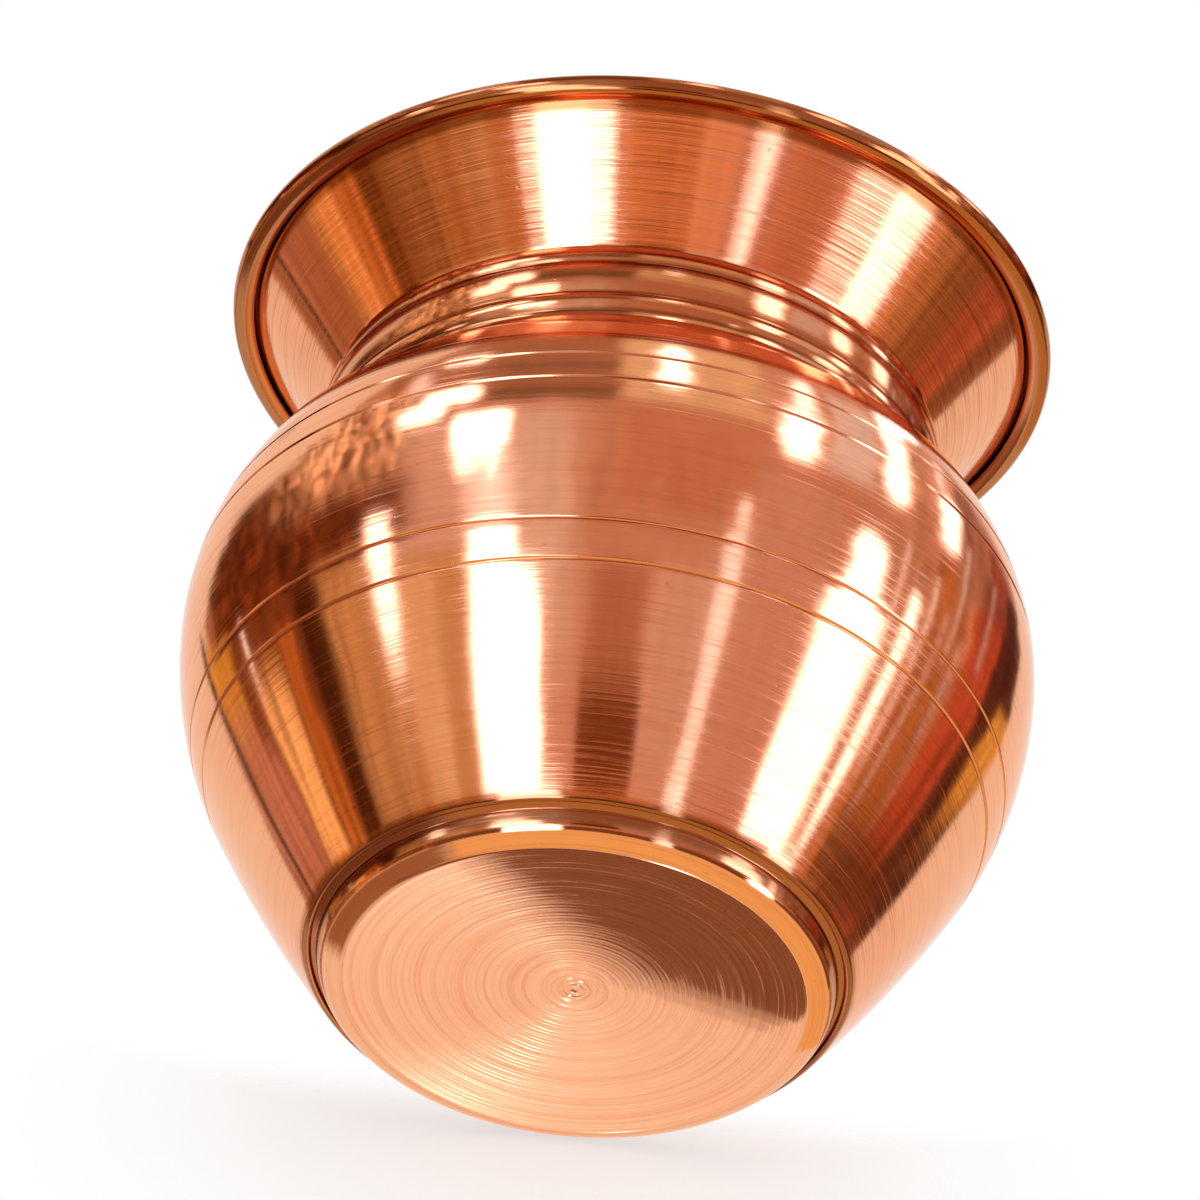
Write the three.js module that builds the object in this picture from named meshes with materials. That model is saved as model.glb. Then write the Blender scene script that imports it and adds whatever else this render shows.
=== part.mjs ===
// A copper lota: a round-bellied water pot with a flat foot, a stepped neck and a flared mouth.
// It is turned about +Z and stands on z = 0. Its rings of thin sheet are lapped and brazed together.
import * as THREE from 'three';

// Sheet and joints, in millimetres
const SHEET = 0.6;             // thickness of the copper sheet
const LAP_GAP = 0.3;           // room for filler between two lapped sheets
const FILLER_GAP = 0.1;        // room between a filler ring and the sheets that it joins
const FILLER_LEG = 1.4;        // length of a filler ring along the wall

// Body wall, outside, as arcs that run into each other; sweeps are in degrees
const BELLY_RADIUS = 54;
const BELLY_HEIGHT = 50.5;
const BOWL_ROUND = 48;         // wall just below the belly
const BOWL_SWEEP = 26;
const SKIRT_ROUND = 220;       // nearly straight wall from the bowl down to the foot
const SHOULDER_ROUND = 33;
const SHOULDER_SWEEP = 33;
const EDGE_ROUND = 10;         // tighter turn where the shoulder ends
const EDGE_SWEEP = 20;

// Foot
const HEEL_ROUND = 3.6;        // rounded edge of the flat base
const HEEL_SETBACK = 0.8;      // how far the heel stands in from the flange
const HEEL_REVEAL = 0.3;       // crease between the heel and the edge of the bowl
const FOOT_LAP = 5;            // height of the pan's flange inside the bowl

// Lap and turned lines of the body
const SEAM_DROP = 15.3;        // from the belly down to the upper edge of the bowl
const BELLY_LAP = 4.8;         // height of the shell's tongue inside the bowl
const JOGGLE = 0.5;            // height of the step from the tongue to the wall
const LINE_WIDTH = 0.6;
const LINE_DEPTH = 0.25;
const LOW_LINE_RISE = 5.8;     // from the belly up to the lower line of the shoulder
const HIGH_LINE_RISE = 10.6;   // from the belly up to the upper line of the shoulder

// Neck: a cove, then three round steps; a swell is how far a step stands out, a taper what its radius loses
const NECK_LAP = 4.5;          // height of the neck's flange under the shoulder
const COVE_DEPTH = 5.95;       // from the flange's upper end in to the neck
const COVE_RISE = 3;           // upright part of the cove
const LOW_STEP_RISE = 2.8;
const LOW_STEP_SWELL = 0.5;
const LOW_STEP_TAPER = 0.1;
const MAIN_STEP_RISE = 5.3;
const MAIN_STEP_SWELL = 0.4;
const MAIN_STEP_TAPER = 0.4;
const TOP_STEP_RISE = 2.9;
const TOP_STEP_SWELL = 0.3;
const TOP_STEP_TAPER = 0.5;

// Mouth
const MOUTH_LAP = 3;           // height of the flare's tongue inside the neck
const FLARE_RISE = 17.6;       // from the top of the neck to the top of the rim
const FLARE_REACH = 13.25;     // from the top of the neck out to the rim
const WIRE_RADIUS = 0.75;      // stiffening wire in the rolled edge
const WIRE_GAP = 0.15;         // room between the wire and the roll

// Fineness of the solids
const TURN_FLATS = 40;         // flats round the pot
const ARC_STEPS = 4;           // flats along each longer round stretch
const LAP_STEPS = 2;           // flats along each lapped end
const STEP_FLATS = 3;          // flats along each step of the neck
const CURL_STEPS = 9;          // flats round the rolled edge
const WIRE_SIDES = 8;

const rad = THREE.MathUtils.degToRad;
const at = (radius, height) => new THREE.Vector2(radius, height);

// One arc of the wall: it starts at a point where its normal has an angle, and turns by a sweep
function wallArc(start, round, angle, sweep) {
  const centre = at(start.x - round * Math.cos(angle), start.y - round * Math.sin(angle));
  const endAngle = angle + sweep;
  const end = at(centre.x + round * Math.cos(endAngle), centre.y + round * Math.sin(endAngle));
  return { centre, round, end, endAngle };
}

const belly = at(BELLY_RADIUS, BELLY_HEIGHT);
const bowlArc = wallArc(belly, BOWL_ROUND, 0, -rad(BOWL_SWEEP));
const skirtArc = wallArc(bowlArc.end, SKIRT_ROUND, bowlArc.endAngle, 0);
const shoulderArc = wallArc(belly, SHOULDER_ROUND, 0, rad(SHOULDER_SWEEP));
const edgeArc = wallArc(shoulderArc.end, EDGE_ROUND, shoulderArc.endAngle, rad(EDGE_SWEEP));

// Sizes that the pieces share
const footHeight = HEEL_ROUND + HEEL_REVEAL;
const seamHeight = BELLY_HEIGHT - SEAM_DROP;
const tongueHeight = seamHeight - BELLY_LAP;
const shoulderTop = edgeArc.end.y;
const lapInset = SHEET + LAP_GAP;

// A point of the wall at a height, set in along the wall's normal
function wallPoint(height, inset = 0) {
  const lower = height < bowlArc.end.y ? skirtArc : bowlArc;
  const upper = height > shoulderArc.end.y ? edgeArc : shoulderArc;
  const arc = height < BELLY_HEIGHT ? lower : upper;
  const angle = Math.asin((height - arc.centre.y) / arc.round);
  const reach = arc.round - inset;
  return at(arc.centre.x + reach * Math.cos(angle), arc.centre.y + reach * Math.sin(angle));
}

// Evenly spaced numbers from one value to another, both included
function spread(from, to, steps) {
  return Array.from({ length: steps + 1 }, (_, index) => from + ((to - from) * index) / steps);
}

// Heights along the wall between two limits, closer together where the wall turns faster
function wallHeights(low, high) {
  const joints = [bowlArc.end.y, BELLY_HEIGHT, shoulderArc.end.y].filter((joint) => joint > low && joint < high);
  const limits = [low, ...joints, high];
  const runs = limits.slice(1).map((limit, index) => spread(limits[index], limit, ARC_STEPS).slice(1));
  return [low, ...runs.flat()];
}

// The wall between two heights, with a fine V-shaped line turned into it at each given height
function linedWall(low, high, lineHeights) {
  const clear = (height) => lineHeights.every((line) => Math.abs(height - line) > LINE_WIDTH);
  const plain = wallHeights(low, high).filter(clear).map((height) => ({ height, inset: 0 }));
  const lines = lineHeights.flatMap((line) => [
    { height: line - LINE_WIDTH / 2, inset: 0 },
    { height: line, inset: LINE_DEPTH },
    { height: line + LINE_WIDTH / 2, inset: 0 },
  ]);
  const stops = [...plain, ...lines].sort((first, second) => first.height - second.height);
  return stops.map((stop) => wallPoint(stop.height, stop.inset));
}

// The same run of points, shifted to its left by a distance, with mitred corners
function shifted(points, distance) {
  const leftOf = (from, to) => at(from.y - to.y, to.x - from.x).normalize();
  return points.map((point, index) => {
    const before = points[Math.max(index - 1, 0)];
    const after = points[Math.min(index + 1, points.length - 1)];
    const first = index > 0 ? leftOf(before, point) : leftOf(point, after);
    const second = index < points.length - 1 ? leftOf(point, after) : first;
    const mitre = first.clone().add(second).normalize();
    return point.clone().addScaledVector(mitre, distance / mitre.dot(first));
  });
}

// The closed section of a sheet whose outer side is given from its lower to its upper end
function sheetSection(outer, plainOuter = outer) {
  return [...outer, ...shifted(plainOuter, SHEET).reverse()];
}

// A closed section turned about +Z
function turned(section) {
  const profile = THREE.ShapeUtils.area(section) < 0 ? [...section].reverse() : [...section];
  const onAxis = profile[0].x === 0 && profile[profile.length - 1].x === 0;
  const loop = onAxis ? profile : [...profile, profile[0].clone()];
  return new THREE.LatheGeometry(loop, TURN_FLATS).rotateX(Math.PI / 2);
}

function copper(color, roughness) {
  return new THREE.MeshStandardMaterial({ color, roughness, metalness: 1 });
}

const lota = new THREE.Group();

function addPiece(name, section, material) {
  const piece = new THREE.Mesh(turned(section), material);
  piece.name = name;
  lota.add(piece);
}

// Base pan: flat bottom, round heel, a crease and a flange that follows the inside of the bowl
function basePanSection() {
  const heelRadius = wallPoint(footHeight, lapInset).x - HEEL_SETBACK;
  const heelAngles = spread(-Math.PI / 2, 0, ARC_STEPS);
  const heel = heelAngles.map((angle) =>
    at(heelRadius + HEEL_ROUND * (Math.cos(angle) - 1), HEEL_ROUND * (1 + Math.sin(angle))));
  const flange = spread(footHeight, footHeight + FOOT_LAP, LAP_STEPS).map((height) => wallPoint(height, lapInset));
  return sheetSection([at(0, 0), ...heel, ...flange]);
}

// Lower bowl: from the foot to the seam, with a line at the lower end of the lap
function lowerBowlSection() {
  const plain = wallHeights(footHeight, seamHeight).map((height) => wallPoint(height));
  return sheetSection(linedWall(footHeight, seamHeight, [tongueHeight]), plain);
}

// Upper shell: a tongue inside the bowl, a step out to the wall, then belly and shoulder
function upperShellSection() {
  const stepTop = seamHeight + LAP_GAP + JOGGLE;
  const tongueHeights = spread(tongueHeight, seamHeight + LAP_GAP, LAP_STEPS);
  const tongue = tongueHeights.map((height) => wallPoint(height, lapInset));
  const plain = wallHeights(stepTop, shoulderTop).map((height) => wallPoint(height));
  const lines = [BELLY_HEIGHT + LOW_LINE_RISE, BELLY_HEIGHT + HIGH_LINE_RISE];
  const lined = linedWall(stepTop, shoulderTop, lines);
  return sheetSection([...tongue, ...lined], [...tongue, ...plain]);
}

// Neck collar: a flange under the shoulder, a cove, then the round steps
const coveStart = wallPoint(shoulderTop, lapInset);
const coveCorner = at(coveStart.x - COVE_DEPTH, coveStart.y + COVE_DEPTH / Math.tan(edgeArc.endAngle));
const neckFoot = at(coveCorner.x, coveCorner.y + COVE_RISE);
const neckSteps = [
  { rise: LOW_STEP_RISE, swell: LOW_STEP_SWELL, taper: LOW_STEP_TAPER },
  { rise: MAIN_STEP_RISE, swell: MAIN_STEP_SWELL, taper: MAIN_STEP_TAPER },
  { rise: TOP_STEP_RISE, swell: TOP_STEP_SWELL, taper: TOP_STEP_TAPER },
];
const climb = (foot, step) => at(foot.x - step.taper, foot.y + step.rise);
const neckTop = neckSteps.reduce(climb, neckFoot);

function neckCollarSection() {
  const flangeHeights = spread(shoulderTop - NECK_LAP, shoulderTop, LAP_STEPS);
  const flange = flangeHeights.map((height) => wallPoint(height, lapInset));
  const cove = new THREE.QuadraticBezierCurve(coveStart, coveCorner, neckFoot);
  const points = [...flange, ...cove.getPoints(ARC_STEPS).slice(1)];
  for (const step of neckSteps) {
    const foot = points[points.length - 1];
    const top = climb(foot, step);
    const bulge = at((foot.x + top.x) / 2 + 2 * step.swell, (foot.y + top.y) / 2);
    points.push(...new THREE.QuadraticBezierCurve(foot, bulge, top).getPoints(STEP_FLATS).slice(1));
  }
  return sheetSection(points);
}

// Mouth: a tongue inside the neck, a straight flare and an edge rolled outwards round the wire
const tongueRadius = neckTop.x - lapInset;
const rollRadius = WIRE_RADIUS + WIRE_GAP;
const beadRadius = rollRadius + SHEET;
const beadCentre = at(neckTop.x + FLARE_REACH - beadRadius, neckTop.y + FLARE_RISE - beadRadius);
const roundBead = (radius, angles) => angles.map((angle) =>
  at(beadCentre.x + radius * Math.cos(angle), beadCentre.y + radius * Math.sin(angle)));

function mouthFlareSection() {
  const tongueFoot = at(tongueRadius, neckTop.y - MOUTH_LAP);
  const flareFoot = at(tongueRadius, neckTop.y);
  const toBead = beadCentre.clone().sub(flareFoot);
  const rollStart = toBead.angle() + Math.PI / 2 + Math.asin(rollRadius / toBead.length());
  const rollEnd = rollStart - 2 * Math.PI + Math.acos((rollRadius - LAP_GAP) / beadRadius);
  return sheetSection([tongueFoot, flareFoot, ...roundBead(rollRadius, spread(rollStart, rollEnd, CURL_STEPS))]);
}

function rimWireSection() {
  return roundBead(WIRE_RADIUS, spread(0, 2 * Math.PI, WIRE_SIDES).slice(1));
}

// Filler at the inner end of a lap on the wall: above the end (way 1) or below it (way -1)
function wallFillerSection(endHeight, way) {
  const seat = endHeight + way * FILLER_GAP;
  return [
    wallPoint(seat, SHEET + FILLER_GAP),
    wallPoint(seat + way * FILLER_LEG, SHEET + FILLER_GAP),
    wallPoint(seat, lapInset + SHEET),
  ];
}

// Filler below the tongue of the mouth, in the crease under the neck's last step
function mouthFillerSection() {
  const seat = neckTop.y - MOUTH_LAP - FILLER_GAP;
  const creaseRadius = neckTop.x + TOP_STEP_TAPER;
  const onWall = creaseRadius - SHEET - FILLER_GAP;
  return [at(onWall, seat), at(onWall, seat - FILLER_LEG), at(tongueRadius - SHEET, seat)];
}

addPiece('base_pan', basePanSection(), copper(0xd98a62, 0.34));
addPiece('lower_bowl', lowerBowlSection(), copper(0xcf7a50, 0.22));
addPiece('upper_shell', upperShellSection(), copper(0xd27d54, 0.22));
addPiece('neck_collar', neckCollarSection(), copper(0xc9734a, 0.24));
addPiece('mouth_flare', mouthFlareSection(), copper(0xd07a4e, 0.24));
addPiece('rim_wire', rimWireSection(), copper(0xb96a45, 0.4));
addPiece('foot_seam', wallFillerSection(footHeight + FOOT_LAP, 1), copper(0xc7955a, 0.45));
addPiece('belly_seam', wallFillerSection(tongueHeight, -1), copper(0xc7955a, 0.45));
addPiece('shoulder_seam', wallFillerSection(shoulderTop - NECK_LAP, -1), copper(0xc7955a, 0.45));
addPiece('mouth_seam', mouthFillerSection(), copper(0xc7955a, 0.45));

export default lota;
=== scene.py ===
import math

import bmesh
import bpy
from mathutils import Matrix, Vector


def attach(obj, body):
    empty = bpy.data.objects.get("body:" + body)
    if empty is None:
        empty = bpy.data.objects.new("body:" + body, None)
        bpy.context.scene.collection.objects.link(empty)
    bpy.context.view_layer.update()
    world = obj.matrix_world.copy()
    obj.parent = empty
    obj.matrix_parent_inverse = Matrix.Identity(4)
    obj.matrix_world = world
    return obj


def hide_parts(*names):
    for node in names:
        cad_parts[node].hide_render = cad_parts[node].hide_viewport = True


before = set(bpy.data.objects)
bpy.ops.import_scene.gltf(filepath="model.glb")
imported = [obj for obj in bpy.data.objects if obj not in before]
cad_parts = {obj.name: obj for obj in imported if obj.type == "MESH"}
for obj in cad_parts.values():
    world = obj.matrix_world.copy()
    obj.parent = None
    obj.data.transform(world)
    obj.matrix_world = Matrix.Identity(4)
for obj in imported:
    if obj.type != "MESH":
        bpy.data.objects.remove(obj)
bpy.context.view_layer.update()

bl_info = {
    "name": "Copper Lota",
    "version": (1, 0, 0),
    "blender": (4, 5, 0),
    "location": "3D View > Sidebar > Lota",
    "description": "Dresses a copper water pot: turned sheet rings, brazed seams, floor, cards and camera",
    "category": "Object",
}

BODY = "root"
# Millimetres in a metre
PER_METRE = 1000
# Flats round a turned piece, the distance between two points of its wall, and what counts as on the axis
TURN_FLATS = 192
FINE_STEP = 0.0009
ON_AXIS = 1e-7
# A corner of a section that turns less stays as it is, and an edge of a mesh that turns more is sharp
SMOOTH_TURN = math.radians(14)
SHARP_TURN = math.radians(50)
# Points along the curves of the sections
CORNER_STEPS = 4
LINE_STEPS = 8
BASE_STEPS = 300
HEEL_STEPS = 14
TOE_STEPS = 6
COVE_STEPS = 14
NECK_STEPS = 10
FLARE_STEPS = 18
ROLL_STEPS = 30
WIRE_STEPS = 16
FILLER_STEPS = 8
# Share of a side that a rounded corner may take, of the sheet that the bowl's lower edge rounds off, and of
# the way to its corner that a filler ring is hollowed
CORNER_SHARE = 0.45
TOE_ROUND = 0.8
FILLER_HOLLOW = 0.4
# Share of a neck step's swell that the polishing left
STEP_POLISH = 0.55
# Turning rings of the base: how fast each kind comes and goes along a millimetre, its weight and its start
BASE_RINGS = ((11.0, 1.0, 0.0), (7.7, 0.8, 1.1), (4.3, 0.7, 0.4))
BASE_RING_HEIGHT = 0.0000009
# The mark at the middle of the base: radius and width of each ring, in millimetres, and its weight
BASE_MARKS = ((0.0, 0.5, 1.0), (1.2, 0.25, 0.5), (2.1, 0.25, 0.3))
BASE_MARK_HEIGHT = 0.00004


def length(name, millimetres, description):
    """A size of the pot, written in millimetres and kept in metres"""
    return bpy.props.FloatProperty(
        name=name, description=description, default=millimetres / PER_METRE, min=0.0,
        precision=5, subtype="DISTANCE", unit="LENGTH")


def sweep(name, degrees, description):
    """An angle of the pot, written in degrees"""
    return bpy.props.FloatProperty(
        name=name, description=description, default=math.radians(degrees), subtype="ANGLE", unit="ROTATION")


def colour(name, default, description):
    """A linear colour"""
    return bpy.props.FloatVectorProperty(
        name=name, description=description, default=default, min=0.0, max=1.0, size=3, subtype="COLOR")


def share(name, default, description):
    """A number between nothing and one"""
    return bpy.props.FloatProperty(
        name=name, description=description, default=default, min=0.0, max=1.0, subtype="FACTOR")


class LotaSizes(bpy.types.PropertyGroup):
    """Sizes of the pot, the same as those of its solids"""

    sheet: length("Sheet", 0.6, "Thickness of the copper sheet")
    lap_gap: length("Lap gap", 0.3, "Room for filler between two lapped sheets")
    filler_gap: length("Filler gap", 0.1, "Room between a filler ring and the sheets")
    filler_leg: length("Filler leg", 1.4, "Length of a filler ring along the wall")
    belly_radius: length("Belly radius", 54, "Largest radius of the body")
    belly_height: length("Belly height", 50.5, "Height of the widest place")
    bowl_round: length("Bowl round", 48, "Radius of the wall just below the belly")
    bowl_sweep: sweep("Bowl sweep", 26, "Turn of the wall just below the belly")
    skirt_round: length("Skirt round", 220, "Radius of the nearly straight lower wall")
    shoulder_round: length("Shoulder round", 33, "Radius of the shoulder")
    shoulder_sweep: sweep("Shoulder sweep", 33, "Turn of the shoulder")
    edge_round: length("Edge round", 10, "Tighter turn where the shoulder ends")
    edge_sweep: sweep("Edge sweep", 20, "Turn where the shoulder ends")
    heel_round: length("Heel round", 3.6, "Rounded edge of the flat base")
    heel_setback: length("Heel setback", 0.8, "How far the heel stands in from the flange")
    heel_reveal: length("Heel reveal", 0.3, "Crease between the heel and the bowl")
    foot_lap: length("Foot lap", 5, "Height of the pan's flange inside the bowl")
    base_dish: length("Base dish", 0.2, "Hollow of the base at its middle")
    seam_drop: length("Seam drop", 15.3, "From the belly down to the bowl's upper edge")
    belly_lap: length("Belly lap", 4.8, "Height of the shell's tongue inside the bowl")
    joggle: length("Joggle", 0.3, "Height of the step from the tongue to the wall")
    seam_gap: length("Seam gap", 0.05, "Room left between the bowl's edge and the shell")
    line_width: length("Line width", 0.6, "Width of a turned line")
    line_depth: length("Line depth", 0.2, "Depth of a turned line")
    low_line_rise: length("Low line rise", 5.8, "From the belly up to the lower shoulder line")
    high_line_rise: length("High line rise", 10.6, "From the belly up to the upper shoulder line")
    neck_lap: length("Neck lap", 4.5, "Height of the neck's flange under the shoulder")
    cove_depth: length("Cove depth", 5.95, "From the flange in to the neck")
    cove_rise: length("Cove rise", 3, "Upright part of the cove")
    low_step_rise: length("Low step rise", 2.8, "Height of the neck's low step")
    low_step_swell: length("Low step swell", 0.5, "How far the low step stands out")
    low_step_taper: length("Low step taper", 0.1, "What the radius loses on the low step")
    main_step_rise: length("Main step rise", 5.3, "Height of the neck's main step")
    main_step_swell: length("Main step swell", 0.4, "How far the main step stands out")
    main_step_taper: length("Main step taper", 0.4, "What the radius loses on the main step")
    top_step_rise: length("Top step rise", 2.9, "Height of the neck's top step")
    top_step_swell: length("Top step swell", 0.3, "How far the top step stands out")
    top_step_taper: length("Top step taper", 0.5, "What the radius loses on the top step")
    mouth_lap: length("Mouth lap", 3, "Height of the flare's tongue inside the neck")
    flare_rise: length("Flare rise", 17.6, "From the top of the neck to the top of the rim")
    flare_reach: length("Flare reach", 13.25, "From the top of the neck out to the rim")
    wire_radius: length("Wire radius", 0.75, "Stiffening wire in the rolled edge")
    wire_gap: length("Wire gap", 0.15, "Room between the wire and the roll")
    burr: length("Eased edge", 0.14, "Rounding of the sheets' cut edges and folds")


class LotaFinish(bpy.types.PropertyGroup):
    """Colours and finishes of the pot and its stage"""

    copper: colour("Copper", (0.93, 0.415, 0.22), "Polished copper")
    tarnish: colour("Tarnish", (0.80, 0.27, 0.12), "Copper where the polish has dulled")
    # Less polished copper; on the neck it also paints the shade under the flare, and on the rim a dark
    # reflection
    handled: colour("Dull and shaded", (0.58, 0.20, 0.07), "Copper of the neck and rim, less polished")
    inside: colour("Inside", (0.82, 0.38, 0.23), "Copper inside the pot")
    # Dirt in creases and turned lines, and painted shade there, at the foot, on the rim and on the heel
    grime: colour("Dirt and shade", (0.30, 0.10, 0.035), "Copper darkened in creases and turned lines")
    base: colour("Base", (0.95, 0.44, 0.235), "Turned copper of the base")
    wire: colour("Wire", (0.62, 0.27, 0.15), "Drawn wire in the rim")
    filler: colour("Filler", (0.66, 0.40, 0.17), "Brazing filler")
    polish: share("Polish roughness", 0.085, "Roughness of the polished copper")
    brush: share("Brush", 0.5, "How much the polish is drawn out along the turning")
    floor: colour("Floor", (1.0, 1.0, 0.995), "Pale floor")


# Finishes: the metal's tint where it is seen aslant, the turn that draws the polish out across the lines and
# the colour of dried flux; then, in millimetres, the radii over which the inside's look ends and the heights
# over which the dirt and painted shade at the foot end
SLANT_TINT = (1.0, 0.88, 0.78)
ACROSS_LINES = 0.25
FLUX = (0.08, 0.05, 0.03)
INSIDE_END = (50.5, 49.5)
FOOT_DIRT_AND_SHADE_END = (5.2, 3.8)


def flat(radius, height):
    """A point of a section"""
    return Vector((radius, height))


def spread(start, end, steps):
    """Evenly spaced numbers from one value to another, both included"""
    return [start + (end - start) * index / steps for index in range(steps + 1)]


def curve_points(start, corner, end, steps):
    """Points of a curve that leaves its start towards a corner and ends coming from it"""
    return [(1 - t) ** 2 * start + 2 * t * (1 - t) * corner + t * t * end for t in spread(0, 1, steps)]


class Arc:
    """A round stretch of the wall, which starts where its normal has an angle and turns by a sweep"""

    def __init__(self, start, radius, angle, turn):
        self.radius = radius
        self.centre = start - radius * flat(math.cos(angle), math.sin(angle))
        self.end_angle = angle + turn
        self.end = self.centre + radius * flat(math.cos(self.end_angle), math.sin(self.end_angle))

    def at(self, height, inset):
        """The point at a height, set in along the normal"""
        angle = math.asin((height - self.centre.y) / self.radius)
        return self.centre + (self.radius - inset) * flat(math.cos(angle), math.sin(angle))


class Pot:
    """Heights, radii and sections of the pot, worked out from its sizes"""

    def __init__(self, sizes):
        self.sizes = sizes
        belly = flat(sizes.belly_radius, sizes.belly_height)
        self.bowl = Arc(belly, sizes.bowl_round, 0, -sizes.bowl_sweep)
        self.skirt = Arc(self.bowl.end, sizes.skirt_round, self.bowl.end_angle, 0)
        self.shoulder = Arc(belly, sizes.shoulder_round, 0, sizes.shoulder_sweep)
        self.edge = Arc(self.shoulder.end, sizes.edge_round, self.shoulder.end_angle, sizes.edge_sweep)
        self.foot_height = sizes.heel_round + sizes.heel_reveal
        self.seam_height = sizes.belly_height - sizes.seam_drop
        self.tongue_height = self.seam_height - sizes.belly_lap
        self.shoulder_top = self.edge.end.y
        line_rises = (sizes.low_line_rise, sizes.high_line_rise)
        self.shoulder_lines = [sizes.belly_height + rise for rise in line_rises]
        self.lap_inset = sizes.sheet + sizes.lap_gap
        self.cove_start = self.wall(self.shoulder_top, self.lap_inset)
        cove_climb = sizes.cove_depth / math.tan(self.edge.end_angle)
        self.cove_corner = self.cove_start + flat(-sizes.cove_depth, cove_climb)
        self.neck_foot = self.cove_corner + flat(0, sizes.cove_rise)
        self.neck_steps = [
            (sizes.low_step_rise, sizes.low_step_swell, sizes.low_step_taper),
            (sizes.main_step_rise, sizes.main_step_swell, sizes.main_step_taper),
            (sizes.top_step_rise, sizes.top_step_swell, sizes.top_step_taper),
        ]
        self.neck_top = self.neck_foot.copy()
        self.neck_creases = [self.neck_foot.y]
        for rise, swell, taper in self.neck_steps:
            self.neck_top += flat(-taper, rise)
            self.neck_creases.append(self.neck_top.y)
        self.tongue_radius = self.neck_top.x - self.lap_inset
        self.roll_radius = sizes.wire_radius + sizes.wire_gap
        self.bead_radius = self.roll_radius + sizes.sheet
        reach = flat(sizes.flare_reach - self.bead_radius, sizes.flare_rise - self.bead_radius)
        self.bead_centre = self.neck_top + reach
        self.rim_height = self.bead_centre.y - self.bead_radius

    def wall(self, height, inset=0.0):
        """A point of the outside wall at a height, set in along the wall's normal"""
        if height < self.bowl.end.y:
            return self.skirt.at(height, inset)
        if height < self.sizes.belly_height:
            return self.bowl.at(height, inset)
        if height < self.shoulder.end.y:
            return self.shoulder.at(height, inset)
        return self.edge.at(height, inset)

    def wall_run(self, low, high, inset=0.0, lines=()):
        """The wall between two heights, with a fine round line turned into it at each given height"""
        half = self.sizes.line_width / 2
        heights = spread(low, high, max(2, round((high - low) / FINE_STEP)))
        heights = [height for height in heights if all(abs(height - line) > half for line in lines)]
        for line in lines:
            heights += [line + half * step for step in spread(-1, 1, LINE_STEPS)]
        points = []
        for height in sorted(heights):
            depth = 0.0
            for line in lines:
                if abs(height - line) < half:
                    depth = self.sizes.line_depth * (0.5 + 0.5 * math.cos(math.pi * (height - line) / half))
            points.append(self.wall(height, inset + depth))
        return points

    def around_bead(self, radius, angles):
        """Points round the middle of the rolled edge"""
        return [self.bead_centre + radius * flat(math.cos(angle), math.sin(angle)) for angle in angles]


def shifted(points, distance):
    """The same run of points, shifted to its left by a distance, with mitred corners"""
    def left_of(start, end):
        return flat(start.y - end.y, end.x - start.x).normalized()

    moved = []
    for index, point in enumerate(points):
        first = left_of(points[index - 1], point) if index else left_of(point, points[1])
        second = left_of(point, points[index + 1]) if index < len(points) - 1 else first
        mitre = (first + second).normalized()
        moved.append(point + mitre * (distance / mitre.dot(first)))
    return moved


def eased(points, radius, closed=True):
    """The same section with its corners rounded; smooth stretches stay as they are"""
    count = len(points)
    result = []
    for index, point in enumerate(points):
        if not closed and index in (0, count - 1):
            result.append(point)
            continue
        before = points[index - 1] - point
        after = points[(index + 1) % count] - point
        if (-before).angle(after) < SMOOTH_TURN:
            result.append(point)
            continue
        start = point + before.normalized() * min(radius, before.length * CORNER_SHARE)
        end = point + after.normalized() * min(radius, after.length * CORNER_SHARE)
        result += curve_points(start, point, end, CORNER_STEPS)
    return result


def sheet_section(outer, thickness, burr, plain=None):
    """The closed section of a sheet whose outer side is given from its lower to its upper end"""
    return eased(outer + shifted(plain or outer, thickness)[::-1], burr)


def turned(name, section, nodes):
    """A piece made by turning a section about +Z, in place of CAD nodes"""
    mesh = bpy.data.meshes.new(name)
    work = bmesh.new()
    rings = []
    for point in section:
        if point.x < ON_AXIS:
            rings.append([work.verts.new((0, 0, point.y))] * TURN_FLATS)
            continue
        ring = []
        for step in range(TURN_FLATS):
            angle = 2 * math.pi * step / TURN_FLATS
            ring.append(work.verts.new((point.x * math.cos(angle), point.x * math.sin(angle), point.y)))
        rings.append(ring)
    on_axis = section[0].x < ON_AXIS
    pairs = list(zip(rings, rings[1:])) + ([] if on_axis else [(rings[-1], rings[0])])
    for lower, upper in pairs:
        for step in range(TURN_FLATS):
            after = (step + 1) % TURN_FLATS
            corners = [lower[step], lower[after], upper[after], upper[step]]
            distinct = list(dict.fromkeys(corners))
            if len(distinct) > 2:
                work.faces.new(distinct)
    bmesh.ops.recalc_face_normals(work, faces=work.faces)
    work.to_mesh(mesh)
    work.free()
    mesh.shade_smooth()
    mesh.set_sharp_from_angle(angle=SHARP_TURN)
    piece = bpy.data.objects.new(name, mesh)
    bpy.context.collection.objects.link(piece)
    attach(piece, BODY)
    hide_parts(*nodes)
    return piece


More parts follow.
